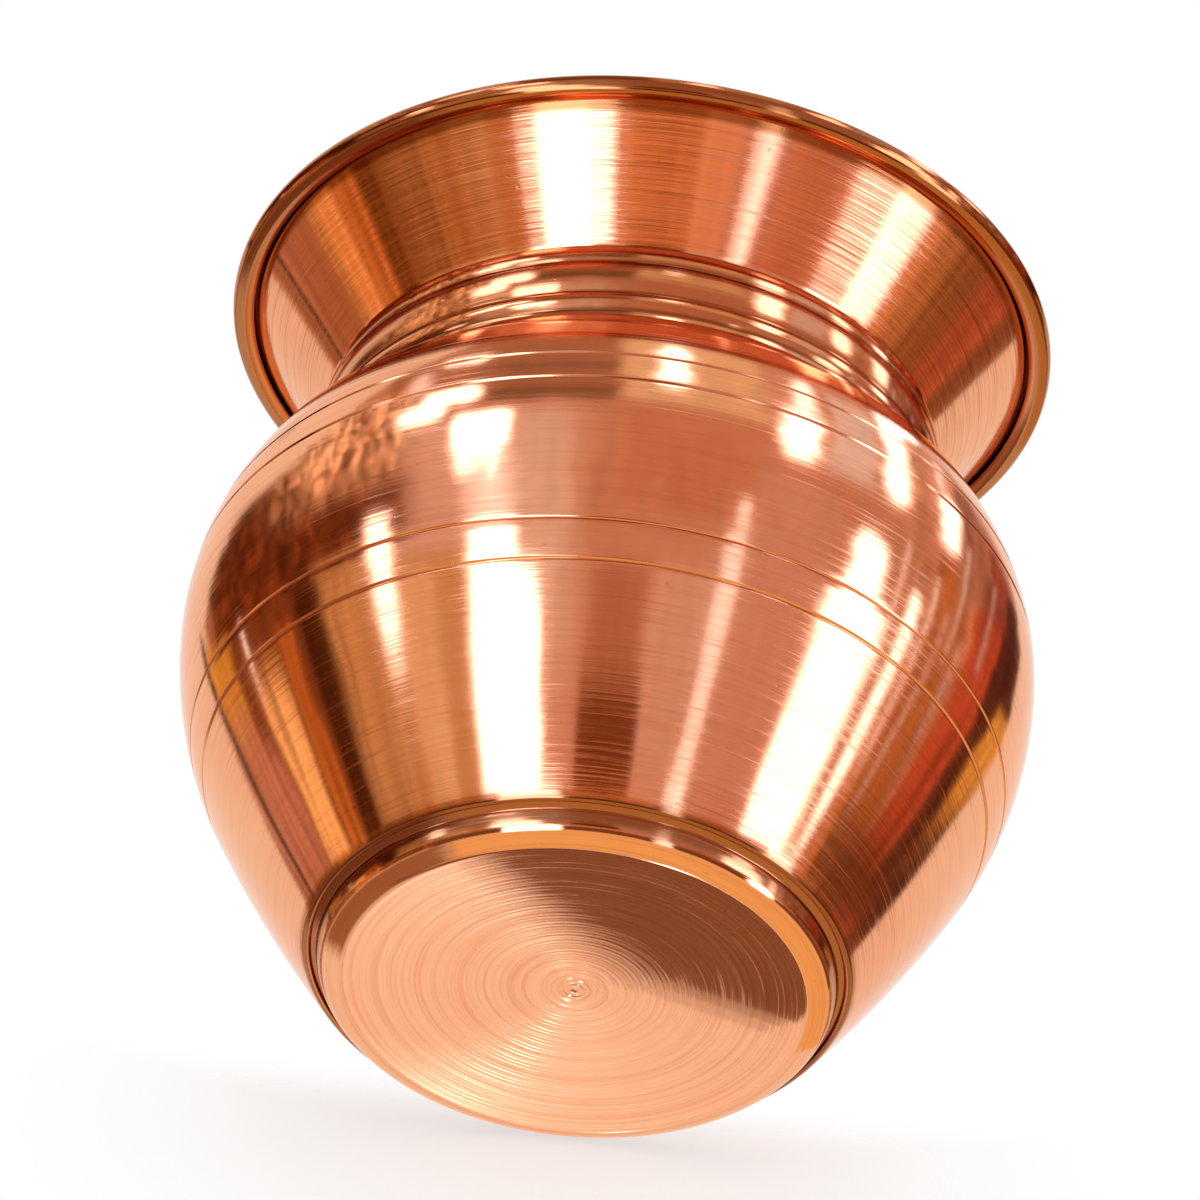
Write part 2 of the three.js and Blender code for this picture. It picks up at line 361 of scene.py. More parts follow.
class Value:
    """A number, colour or vector that nodes give; arithmetic on numbers adds Math nodes"""

    def __init__(self, book, socket):
        self.book = book
        self.socket = socket

    def other(self, name):
        """Another output of the same node"""
        return Value(self.book, self.socket.node.outputs[name])

    def calculated(self, operation, first, second=0.0, clamp=False):
        """What a Math node makes of two numbers"""
        settings = {"operation": operation, "use_clamp": clamp}
        return self.book.node("ShaderNodeMath", settings, {0: first, 1: second})

    def __add__(self, value):
        return self.calculated("ADD", self, value)

    def __radd__(self, value):
        return self.calculated("ADD", value, self)

    def __sub__(self, value):
        return self.calculated("SUBTRACT", self, value)

    def __rsub__(self, value):
        return self.calculated("SUBTRACT", value, self)

    def __mul__(self, value):
        return self.calculated("MULTIPLY", self, value)

    def __rmul__(self, value):
        return self.calculated("MULTIPLY", value, self)

    def __truediv__(self, value):
        return self.calculated("DIVIDE", self, value)

    def __pow__(self, value):
        return self.calculated("POWER", self, value)

    def largest(self, value):
        """The larger of two numbers"""
        return self.calculated("MAXIMUM", self, value)

    def size(self):
        """The number without its sign"""
        return self.calculated("ABSOLUTE", self)

    def clamped(self):
        """The number, held between nothing and one"""
        return self.calculated("ADD", self, 0.0, clamp=True)

    def ramp(self, start, end):
        """Nothing up to start and one from end on, smooth between them"""
        settings = {"interpolation_type": "SMOOTHSTEP"}
        sockets = {"Value": self, "From Min": start, "From Max": end, "To Min": 0.0, "To Max": 1.0}
        return self.book.node("ShaderNodeMapRange", settings, sockets)


class NodeBook:
    """The nodes of one material or of the world"""

    def __init__(self, tree):
        self.tree = tree
        tree.nodes.clear()

    def node(self, kind, settings=None, sockets=None, output=0):
        """A node with its settings made first, then its sockets filled or linked"""
        made = self.tree.nodes.new(kind)
        for name, value in (settings or {}).items():
            if name == "stops":
                self.fill_ramp(made.color_ramp, value)
            else:
                setattr(made, name, value)
        for key, value in (sockets or {}).items():
            if isinstance(value, Value):
                self.tree.links.new(value.socket, made.inputs[key])
            else:
                made.inputs[key].default_value = value
        return Value(self, made.outputs[output]) if made.outputs else None

    def mixed(self, factor, first, second):
        """A colour between two colours"""
        return self.node("ShaderNodeMix", {"data_type": "RGBA"}, {0: factor, 6: first, 7: second}, 2)

    def vector(self, x, y, z=0.0):
        """A vector put together from numbers"""
        return self.node("ShaderNodeCombineXYZ", {}, {"X": x, "Y": y, "Z": z})

    def along(self, first, second):
        """How far one vector reaches along another"""
        return self.node("ShaderNodeVectorMath", {"operation": "DOT_PRODUCT"}, {0: first, 1: second}, "Value")

    def reach(self, vector):
        """The length of a vector"""
        return self.node("ShaderNodeVectorMath", {"operation": "LENGTH"}, {0: vector}, "Value")

    def direction(self, vector):
        """The direction of a vector, one long"""
        return self.node("ShaderNodeVectorMath", {"operation": "NORMALIZE"}, {0: vector})

    def glow(self, values):
        """A plain glow of one colour, or of a colour that nodes give"""
        return self.node("ShaderNodeEmission", {}, {"Color": values, "Strength": 1.0})

    def part_clear(self, cover, shader):
        """A shader that covers a share of what is behind it"""
        clear = self.node("ShaderNodeBsdfTransparent")
        return self.node("ShaderNodeMixShader", {}, {0: cover, 1: clear, 2: shader})

    def surface(self, shader):
        """Ends a material with its shader"""
        self.node("ShaderNodeOutputMaterial", {}, {"Surface": shader})

    def fill_ramp(self, ramp, stops):
        """Sets the stops of a ramp, each a place and a level between nothing and one"""
        while len(ramp.elements) < len(stops):
            ramp.elements.new(1.0)
        for element, (where, level) in zip(ramp.elements, stops):
            element.position = where
            element.color = (level, level, level, 1.0)

    def noise(self, vector, scale, detail=2.0, roughness=0.5, turn=None):
        """Noise between nothing and one; turn adds a fourth direction"""
        sockets = {"Vector": vector, "Scale": scale, "Detail": detail, "Roughness": roughness}
        if turn is None:
            return self.node("ShaderNodeTexNoise", {"noise_dimensions": "3D"}, sockets)
        sockets["W"] = turn
        return self.node("ShaderNodeTexNoise", {"noise_dimensions": "4D"}, sockets)


class Spot:
    """Where a shaded point lies on the pot, in millimetres and as a direction round the axis"""

    def __init__(self, book):
        self.book = book
        self.place = book.node("ShaderNodeTexCoord", output="Object")
        x = book.node("ShaderNodeSeparateXYZ", {}, {"Vector": self.place})
        y = x.other("Y")
        self.radius = (x * x + y * y) ** 0.5 * PER_METRE
        self.height = x.other("Z") * PER_METRE
        apart = self.radius.largest(0.001) * (1 / PER_METRE)
        self.cosine = x / apart
        self.sine = y / apart
        normal = book.node("ShaderNodeNewGeometry", output="Normal")
        out = book.vector(self.cosine, self.sine)
        self.outward = book.along(out, normal)

    def inside(self):
        """One on faces that look towards the axis"""
        return (self.outward * -1.0).ramp(0.05, 0.3)

    def lines(self, width, reach, detail=2.0, roughness=0.6):
        """Noise in arcs that run round the axis: their width in millimetres, and how soon they change"""
        vector = self.book.vector(self.radius * (1 / width), self.height * (1 / width), self.cosine * reach)
        return self.book.noise(vector, 1.0, detail, roughness, self.sine * reach)


def new_material(name):
    """A material that has no nodes yet, and the book of its nodes"""
    material = bpy.data.materials.new(name)
    material.use_nodes = True
    return material, NodeBook(material.node_tree)


def finish_metal(book, colour_value, roughness, height, depth, brush):
    """A metal whose polish is drawn out across the turned lines"""
    normal = book.node("ShaderNodeBump", {}, {"Strength": 1.0, "Distance": depth, "Height": height})
    shader = book.node("ShaderNodeBsdfPrincipled", {}, {
        "Base Color": colour_value,
        "Metallic": 1.0,
        "Roughness": roughness,
        "Specular Tint": solid(SLANT_TINT),
        "Anisotropic": brush,
        "Anisotropic Rotation": ACROSS_LINES,
        "Normal": normal,
    })
    book.surface(shader)


def within(value, low, high, soft):
    """One between two numbers and nothing outside them, with soft ends"""
    return value.ramp(low - soft, low + soft) * value.ramp(high + soft, high - soft)


def solid(values):
    """A colour as sockets take it, with nothing clear"""
    return (values[0], values[1], values[2], 1.0)


def polished_sheet(finish):
    """Sheet copper: polish lines, fine scratches, dull clouds, specks and a duller inside; dirt and painted
    shade in the creases, the turned lines and at the foot, and painted shade and a dark reflection on the
    neck and rim
    """
    material, book = new_material("polished_sheet")
    spot = Spot(book)
    fine = spot.lines(width=0.22, reach=2.2, detail=4.0, roughness=0.7)
    middle = spot.lines(width=0.5, reach=1.8, detail=2.0)
    broad = spot.lines(width=1.6, reach=1.2, detail=2.0)
    deep = spot.lines(width=0.2, reach=1.6, detail=1.0).ramp(0.62, 0.74)
    worn = book.noise(spot.place, scale=24.0, detail=2.0).ramp(0.3, 0.62)
    hair = spot.lines(width=0.14, reach=1.8, detail=2.0, roughness=0.7).ramp(0.53, 0.66)
    hair = hair * (0.15 + worn * 0.85)
    wave = book.noise(spot.place, scale=55.0, detail=2.0)
    cloud = book.noise(spot.place, scale=38.0, detail=3.0)
    speck = book.noise(spot.place, scale=900.0, detail=1.0).ramp(0.76, 0.80)
    inside = spot.inside() * spot.radius.ramp(*INSIDE_END)
    dull = cloud.ramp(0.45, 0.75) * 0.3 + speck * 0.5 + deep * 0.3 + broad.ramp(0.5, 0.8) * 0.2
    dull = (dull + hair * 0.2 + middle.ramp(0.46, 0.68) * 0.25).clamped()
    shade = book.mixed(dull, solid(finish.copper), solid(finish.tarnish))
    shade = book.mixed(inside * 0.8, shade, solid(finish.inside))
    pot = Pot(bpy.context.scene.lota_sizes)
    rim_height = pot.rim_height * PER_METRE
    rim = spot.height.ramp(rim_height - 0.6, rim_height + 0.2)
    creases = [height * PER_METRE for height in pot.neck_creases]
    lines = [height * PER_METRE for height in (pot.tongue_height, pot.seam_height, *pot.shoulder_lines)]
    neck = within(spot.height, creases[0] - 4.0, creases[-1], 1.0)
    # The neck and rim take the duller colour: less polish, plus painted shade on the neck and a painted dark
    # reflection on the rim
    shade = book.mixed((neck * 0.6).largest(rim) * (1.0 - inside), shade, solid(finish.handled))
    # Dirt and painted shade: darker towards the foot, at the neck's creases, on the rim and in the turned
    # lines
    dirt_and_shade_mask = spot.height.ramp(*FOOT_DIRT_AND_SHADE_END) * 0.9
    for crease in creases:
        dirt_and_shade_mask = dirt_and_shade_mask.largest((spot.height - crease).size().ramp(0.5, 0.1) * (0.4 + middle * 0.8))
    dirt_and_shade_mask = dirt_and_shade_mask.largest(rim * 0.5)
    for line in lines:
        dirt_and_shade_mask = dirt_and_shade_mask.largest((spot.height - line).size().ramp(0.35, 0.1) * (0.05 + middle * 0.4))
    shade = book.mixed((dirt_and_shade_mask * (1.0 - inside)).clamped(), shade, solid(finish.grime))
    roughness = finish.polish - 0.03 + fine * 0.05 + cloud * 0.03 + deep * 0.08 + hair * 0.15 + inside * 0.1
    height = fine * 0.4 + middle * 1.1 + broad + wave * 6.0 - deep * 0.3 - speck * 0.3
    finish_metal(book, shade, roughness, height, depth=0.000009, brush=finish.brush)
    return material


def turned_bottom(finish):
    """Base copper: turning rings that change from ring to ring, scratches, and a heel that is rougher and
    darker upwards, with dirt and painted shade towards the crease above it
    """
    material, book = new_material("turned_bottom")
    spot = Spot(book)
    fine = spot.lines(width=0.22, reach=1.2, detail=3.0)
    broad = spot.lines(width=1.0, reach=0.7, detail=2.0)
    scratch = spot.lines(width=0.4, reach=6.0, detail=1.0).ramp(0.68, 0.75)
    cloud = book.noise(spot.place, scale=60.0, detail=3.0)
    speck = book.noise(spot.place, scale=1100.0, detail=1.0).ramp(0.75, 0.79)
    inside = spot.inside()
    ring = spot.lines(width=0.42, reach=0.3, detail=2.0)
    # The heel darkens upwards towards its crease with the bowl: dirt and painted shade
    grime = spot.height.ramp(0.9, 2.4) * (1.0 - inside)
    dull = ring.ramp(0.42, 0.72) * 0.5 + broad.ramp(0.45, 0.85) * 0.3 + cloud.ramp(0.5, 0.8) * 0.2
    dull = (dull + speck * 0.5).clamped()
    shade = book.mixed(dull, solid(finish.base), solid(finish.tarnish))
    shade = book.mixed(inside * 0.8, shade, solid(finish.inside))
    shade = book.mixed(grime * 0.8, shade, solid(finish.grime))
    roughness = finish.polish - 0.055 + fine * 0.04 + fine.ramp(0.52, 0.7) * 0.15 + scratch * 0.06
    roughness = roughness + inside * 0.12 + grime * 0.1
    height = fine * 0.7 + broad * 0.8 + scratch * 0.4 - speck * 0.3
    finish_metal(book, shade, roughness, height, depth=0.0000011, brush=finish.brush)
    return material


def drawn_wire(finish):
    """Drawn copper wire: lines along its length and dull patches"""
    material, book = new_material("drawn_wire")
    spot = Spot(book)
    fine = spot.lines(width=0.12, reach=0.8, detail=3.0)
    cloud = book.noise(spot.place, scale=250.0, detail=3.0)
    shade = book.mixed(cloud.ramp(0.4, 0.7), solid(finish.wire), solid(finish.tarnish))
    finish_metal(book, shade, 0.34 + fine * 0.14, fine, depth=0.000006, brush=finish.brush)
    return material


def set_filler(finish):
    """Brazing filler as it set: small waves, a paler skin and dark flux spots"""
    material, book = new_material("set_filler")
    spot = Spot(book)
    wave = book.noise(spot.place, scale=700.0, detail=3.0)
    flux = book.noise(spot.place, scale=420.0, detail=2.0).ramp(0.6, 0.7)
    shade = book.mixed(wave.ramp(0.35, 0.7), solid(finish.filler), solid(finish.tarnish))
    shade = book.mixed(flux * 0.6, shade, solid(FLUX))
    finish_metal(book, shade, 0.36 + wave * 0.2 + flux * 0.15, wave, depth=0.00008, brush=0.0)
    return material


def dress(piece, build, finish):
    """Gives a piece its material, which like pieces share"""
    material = bpy.data.materials.get(build.__name__) or build(finish)
    piece.data.materials.append(material)


def pot_of(context):
    """The pot, its sizes and its finishes"""
    return Pot(context.scene.lota_sizes), context.scene.lota_sizes, context.scene.lota_finish


class LOTA_OT_base_pan(bpy.types.Operator):
    """Makes the pressed base pan with its turned bottom"""

    bl_idname = "lota.base_pan"
    bl_label = "Base Pan"

    def execute(self, context):
        pot, sizes, finish = pot_of(context)
        snug = sizes.sheet + sizes.seam_gap
        flange = pot.wall_run(pot.foot_height, pot.foot_height + sizes.foot_lap, snug)
        heel_radius = pot.wall(pot.foot_height, pot.lap_inset).x - sizes.heel_setback
        flat_radius = heel_radius - sizes.heel_round
        heel_centre = flat(flat_radius, sizes.heel_round)
        heel = [heel_centre + sizes.heel_round * flat(math.cos(angle), math.sin(angle))
                for angle in spread(-math.pi / 2, 0, HEEL_STEPS)]
        bottom = [flat(radius, self.bottom_height(radius, flat_radius, sizes.base_dish))
                  for radius in spread(0, flat_radius, BASE_STEPS)]
        outer = bottom[:-1] + heel + flange
        inner = shifted([flat(0, 0)] + heel + flange, sizes.sheet)
        inner[0] = flat(0, sizes.sheet)
        section = eased(outer + inner[::-1], sizes.burr, closed=False)
        piece = turned("turned_base_pan", section, ["base_pan"])
        dress(piece, turned_bottom, finish)
        return {"FINISHED"}

    def bottom_height(self, radius, flat_radius, dish):
        """Underside of the base: slightly hollow, with turning rings and a mark at the centre"""
        inward = 1 - (radius / flat_radius) ** 2
        millimetres = radius * PER_METRE
        rings = sum(weight * (1 + math.sin(pace * millimetres + start)) for pace, weight, start in BASE_RINGS)
        rings *= (1 - radius / flat_radius) ** 0.5
        mark = 0.0
        for place, width, weight in BASE_MARKS:
            mark += weight * math.exp(-((millimetres - place) / width) ** 2)
        return dish * inward + BASE_RING_HEIGHT * rings + BASE_MARK_HEIGHT * mark


class LOTA_OT_body(bpy.types.Operator):
    """Makes the two rings of the body, with their turned lines"""

    bl_idname = "lota.body"
    bl_label = "Lower Bowl and Upper Shell"

    def execute(self, context):
        pot, sizes, finish = pot_of(context)
        foot = sizes.heel_round + sizes.seam_gap
        toe_start = pot.wall(foot, TOE_ROUND * sizes.sheet)
        toe = curve_points(toe_start, pot.wall(foot), pot.wall(foot + sizes.sheet), TOE_STEPS)
        lined = toe[:-1] + pot.wall_run(foot + sizes.sheet, pot.seam_height, lines=[pot.tongue_height])
        plain = pot.wall_run(foot, pot.seam_height)
        section = sheet_section(lined, sizes.sheet, sizes.burr, plain)
        bowl = turned("polished_lower_bowl", section, ["lower_bowl"])
        dress(bowl, polished_sheet, finish)
        step = pot.seam_height + sizes.seam_gap
        tongue = pot.wall_run(pot.tongue_height, step, pot.lap_inset)
        tongue.append(pot.wall(step, sizes.line_depth))
        lined = pot.wall_run(step + sizes.joggle, pot.shoulder_top, lines=pot.shoulder_lines)
        plain = pot.wall_run(step + sizes.joggle, pot.shoulder_top)
        section = sheet_section(tongue + lined, sizes.sheet, sizes.burr, tongue + plain)
        shell = turned("polished_upper_shell", section, ["upper_shell"])
        dress(shell, polished_sheet, finish)
        return {"FINISHED"}


class LOTA_OT_neck(bpy.types.Operator):
    """Makes the stepped neck collar"""

    bl_idname = "lota.neck"
    bl_label = "Neck Collar"

    def execute(self, context):
        pot, sizes, finish = pot_of(context)
        points = pot.wall_run(pot.shoulder_top - sizes.neck_lap, pot.shoulder_top, pot.lap_inset)
        points += curve_points(pot.cove_start, pot.cove_corner, pot.neck_foot, COVE_STEPS)[1:]
        for rise, swell, taper in pot.neck_steps:
            foot = points[-1]
            top = foot + flat(-taper, rise)
            bulge = (foot + top) / 2 + flat(2 * STEP_POLISH * swell, 0)
            points += curve_points(foot, bulge, top, NECK_STEPS)[1:]
        section = sheet_section(eased(points, 2 * sizes.burr, closed=False), sizes.sheet, sizes.burr)
        collar = turned("stepped_neck_collar", section, ["neck_collar"])
        dress(collar, polished_sheet, finish)
        return {"FINISHED"}


class LOTA_OT_mouth(bpy.types.Operator):
    """Makes the flared mouth with its rolled rim, and the wire inside the roll"""

    bl_idname = "lota.mouth"
    bl_label = "Mouth Flare and Rim Wire"

    def execute(self, context):
        pot, sizes, finish = pot_of(context)
        tongue_foot = flat(pot.tongue_radius, pot.neck_top.y - sizes.mouth_lap)
        flare_foot = flat(pot.tongue_radius, pot.neck_top.y)
        to_bead = pot.bead_centre - flare_foot
        slope = math.atan2(to_bead.y, to_bead.x)
        roll_start = slope + math.pi / 2 + math.asin(pot.roll_radius / to_bead.length)
        roll_end = roll_start - 2 * math.pi + math.acos((pot.roll_radius - sizes.lap_gap) / pot.bead_radius)
        roll = pot.around_bead(pot.roll_radius, spread(roll_start, roll_end, ROLL_STEPS))
        flare = [flare_foot.lerp(roll[0], part) for part in spread(0, 1, FLARE_STEPS)]
        points = eased([tongue_foot] + flare, 6 * sizes.burr, closed=False) + roll[1:]
        section = sheet_section(points, sizes.sheet, sizes.burr)
        mouth = turned("flared_mouth", section, ["mouth_flare"])
        dress(mouth, polished_sheet, finish)
        ring = pot.around_bead(sizes.wire_radius, spread(0, 2 * math.pi, WIRE_STEPS)[1:])
        wire = turned("stiffening_wire", ring, ["rim_wire"])
        dress(wire, drawn_wire, finish)
        return {"FINISHED"}


class LOTA_OT_seams(bpy.types.Operator):
    """Makes the four rings of brazing filler at the inner ends of the laps"""

    bl_idname = "lota.seams"
    bl_label = "Brazed Seams"

    def execute(self, context):
        pot, sizes, finish = pot_of(context)
        crease = pot.neck_top.x + sizes.top_step_taper - sizes.sheet - sizes.filler_gap
        seat = pot.neck_top.y - sizes.mouth_lap - sizes.filler_gap
        seams = {
            "foot_seam": self.wall_corner(pot, pot.foot_height + sizes.foot_lap, 1),
            "belly_seam": self.wall_corner(pot, pot.tongue_height, -1),
            "shoulder_seam": self.wall_corner(pot, pot.shoulder_top - sizes.neck_lap, -1),
            "mouth_seam": (flat(crease, seat), flat(crease, seat - sizes.filler_leg),
                           flat(pot.tongue_radius - sizes.sheet, seat)),
        }
        for node, (corner, along, over) in seams.items():
            pull = (along + over) / 2 * (1 - FILLER_HOLLOW) + corner * FILLER_HOLLOW
            section = [corner] + curve_points(along, pull, over, FILLER_STEPS)
            piece = turned("brazed_" + node, section, [node])
            dress(piece, set_filler, finish)
        return {"FINISHED"}

    def wall_corner(self, pot, end_height, way):
        """The corner at a lapped sheet's end, and its two legs: along the wall and over the end"""
        sizes = pot.sizes
        seat = end_height + way * sizes.filler_gap
        on_wall = sizes.sheet + sizes.filler_gap
        return (pot.wall(seat, on_wall), pot.wall(seat + way * sizes.filler_leg, on_wall),
                pot.wall(seat, pot.lap_inset + sizes.sheet))


# The camera looks up at the base of the upright pot; LEAN turns the picture, AIM is its middle
VIEW_RISE = math.radians(37.5)
LEAN = math.radians(5.87)
AIM = Vector((-0.00185, 0.0, 0.0620))
FRAME_WIDTH = 0.1517
LENS = 1400.0
SENSOR = 36.0
CLIP_END = 20.0
TO_CAMERA = Vector((0, -math.cos(VIEW_RISE), -math.sin(VIEW_RISE)))

# The world lights the pot a little less than the white that the camera and the copper see
WORLD_LIGHT = 0.98
# How the pot would lie on its lower wall, how far below that place the small floor's middle is, and the two
# floors: reach, firm share of the reach and top along the slope, in metres
LYING_TILT = math.radians(31.5)
LYING_SHIFT = 0.022
LYING_FLOOR = {"reach": 0.08, "firm": 0.3, "top": 0.03}
STANDING_FLOOR = {"reach": 1.2, "firm": 0.55, "top": 1.2}
FLOOR_FLATS = 48
# Share of the floor's white that a shadow can darken, share of its reach where it has faded out, and the
# length in metres over which it fades out at its top
FLOOR_SHADE = 0.35
FLOOR_END = 0.95
FLOOR_FADE = 0.02

# The studio that the copper mirrors. Each panel or lamp has the turns and the rises, in degrees, of the wall
# that shows it to the camera; a panel then has its linear colour and a lamp its strength, and both have the
# softness of their edges in degrees. FLARE_LINE parts what the mouth's flare shows from what the wall shows
ROOM_RADIUS = 4.0
ROOM_SPLITS = 4
LAMP_DISTANCE = 3.5
FLARE_LINE = -34.3
LOWEST_RISE = -89.99
# The mesh of a lamp card: its step round the pot in degrees, and its fewest steps
CARD_STEP = 1.5
CARD_STEPS = 4
# A lamp's fringes, in softnesses: how wide they are and how far they stray
FRINGE = 1.5
STRAY = 4.2
# How far, in degrees, the edges of the panels waver
SWAY = 5.0
NOD = 2.2
ROOM = (0.554, 0.34, 0.263)
ROOM_PANELS = {
    "copper_wall": ((-107, -58), (-42, 4), (0.621, 0.398, 0.329), 3),
    "lit_wall": ((-106, -97), (-30, 1), (0.785, 0.735, 0.779), 6),
    "arch_wall": ((-91, -58), (-16, 3.5), (0.6, 0.347, 0.263), 2),
    "upper_band": ((-126, -91), (3, 34), (0.432, 0.246, 0.168), 2),
    "dark_band": ((-110, -92), (3.5, 7), (0.24, 0.148, 0.105), 1),
    "dark_band_high": ((-112, -93), (12.5, 15), (0.282, 0.193, 0.156), 1),
    "warm_halo": ((-92, -72), (4, 60), (0.834, 0.735, 0.555), 3),
    "warm_halo_right": ((-72, -40), (4, 32), (0.678, 0.469, 0.403), 3),
    "pale_halo": ((-62, -55), (-1, 22), (0.834, 0.907, 1.101), 2),
    "tan_wall": ((-138, -112), (-42, -15), (0.594, 0.413, 0.219), 1.2),
    "tan_light": ((-123.5, -117.8), (-42, -24), (0.85, 0.72, 0.5), 2),
    "grey_wall": ((-124, -112), (-22, -1), (0.76, 0.63, 0.62), 2),
    "brown_panel": ((-160, -142), (-42, -8), (0.202, 0.071, 0.027), 1.5),
    "dark_post": ((-142.4, -137.6), (-42, -15), (0.06, 0.02, 0.006), 1.5),
    "orange_panel": ((-155, -148), (-42, -27), (1.075, 0.801, 0.403), 1.5),
    "orange_slat": ((-147, -144), (-42, -24), (0.554, 0.219, 0.059), 1),
    "gold_cloth": ((-167, -158.5), (-27, -16.5), (0.78, 0.5, 0.1), 2),
    "rose_strips": ((-166, -156), (-42, -29), (0.62, 0.34, 0.28), 1),
    "red_door": ((-94.5, -84), (-34.8, -30), (0.17, 0.05, 0.02), 1.2),
    "red_door_top": ((-94, -85), (-30, -25), (0.479, 0.258, 0.174), 3),
    "pale_post": ((-84, -76), (-42, -24), (0.678, 0.538, 0.52), 1.5),
    "rose_wall": ((-72, -59), (-42, -5), (0.642, 0.437, 0.403), 2),
    "brown_shelf": ((-42, -33), (-42, 10), (0.45, 0.2, 0.07), 1),
    "brown_high": ((-38, -29), (-8, 24), (0.405, 0.246, 0.205), 2),
    "red_high": ((-30, -20), (-8, 18), (0.328, 0.109, 0.088), 2),
    "red_cloth": ((-31.8, -23.5), (-34, -6), (0.541, 0.131, 0.073), 1.5),
    "dark_right": ((-24, -12), (-42, 3), (0.098, 0.04, 0.032), 1.5),
    "dark_foot": ((-40, -20), (-42, -31), (0.137, 0.063, 0.036), 2),
    "gold_right": ((-19.5, -14), (-28, -15), (0.78, 0.52, 0.13), 1.5),
    "flare_rust": ((-174, -153), (-46, FLARE_LINE), (0.405, 0.193, 0.076), 1.5),
    "flare_orange": ((-153, -143), (-46, FLARE_LINE), (0.785, 0.361, 0.119), 1.2),
    "flare_brown": ((-143, -130), (-46, FLARE_LINE), (0.282, 0.116, 0.036), 1.2),
    "flare_gold": ((-130, -118), (-46, FLARE_LINE), (0.4, 0.15, 0.035), 1.5),
    "flare_amber": ((-118, -96), (-46, FLARE_LINE), (0.52, 0.21, 0.07), 2),
    "flare_middle": ((-96, -77), (-46, FLARE_LINE), (0.86, 0.41, 0.2), 1.2),
    "flare_copper": ((-77, -42), (-46, FLARE_LINE), (0.57, 0.21, 0.09), 1.5),
    "flare_tan": ((-42, -34), (-46, FLARE_LINE), (0.587, 0.307, 0.134), 1.2),
    "flare_bark": ((-34, -27), (-46, FLARE_LINE), (0.405, 0.193, 0.076), 1.2),
    "flare_red": ((-27, -19), (-46, FLARE_LINE), (0.607, 0.184, 0.096), 1.2),
    "flare_end": ((-19, -8), (-46, FLARE_LINE), (0.328, 0.148, 0.076), 1.5),
}
# The pale sheet above the room: its lower edge, as turns and rises no further than EDGE_SPAN from level, the
# rises over which it comes again below, and how near the direction opposite the camera it starts and ends to
# hide the room, as the length of the sum of both directions
SHEET = (0.97, 0.96, 0.95)
EDGE_SPAN = 40
SHEET_FOOT = (-41.0, -46.0)
SHEET_BACK = (0.6, 0.36)
SHEET_EDGE = (
    (-172, -36), (-168, -30), (-166, -17), (-162, -8), (-158, -4), (-153, -0.5), (-145, 1.6), (-135, 7.2),
    (-126, 16.5), (-118, 22.5), (-105, 30), (-90, 34), (-60, 34), (-40, 28), (-32, 24), (-28, 20),
    (-24, 10), (-20, 2), (-17, -5), (-14.5, -15), (-13.5, -30), (-12, -36))
SHEET_PANELS = {
    "sheet_shade": ((-151, -144), (15.5, 26), (0.52, 0.41, 0.35), 3),
    "tan_ground": ((-124, 14), (-87, -44.5), (0.92, 0.68, 0.33), 1.5),
    "dark_ground": ((-174, -124), (-84, -44), (0.36, 0.2, 0.12), 8),
    "dark_crease": ((-128, -8), (-44.5, -37.5), (0.202, 0.109, 0.066), 2),
}
LAMP = (0.88, 1.0, 1.28)
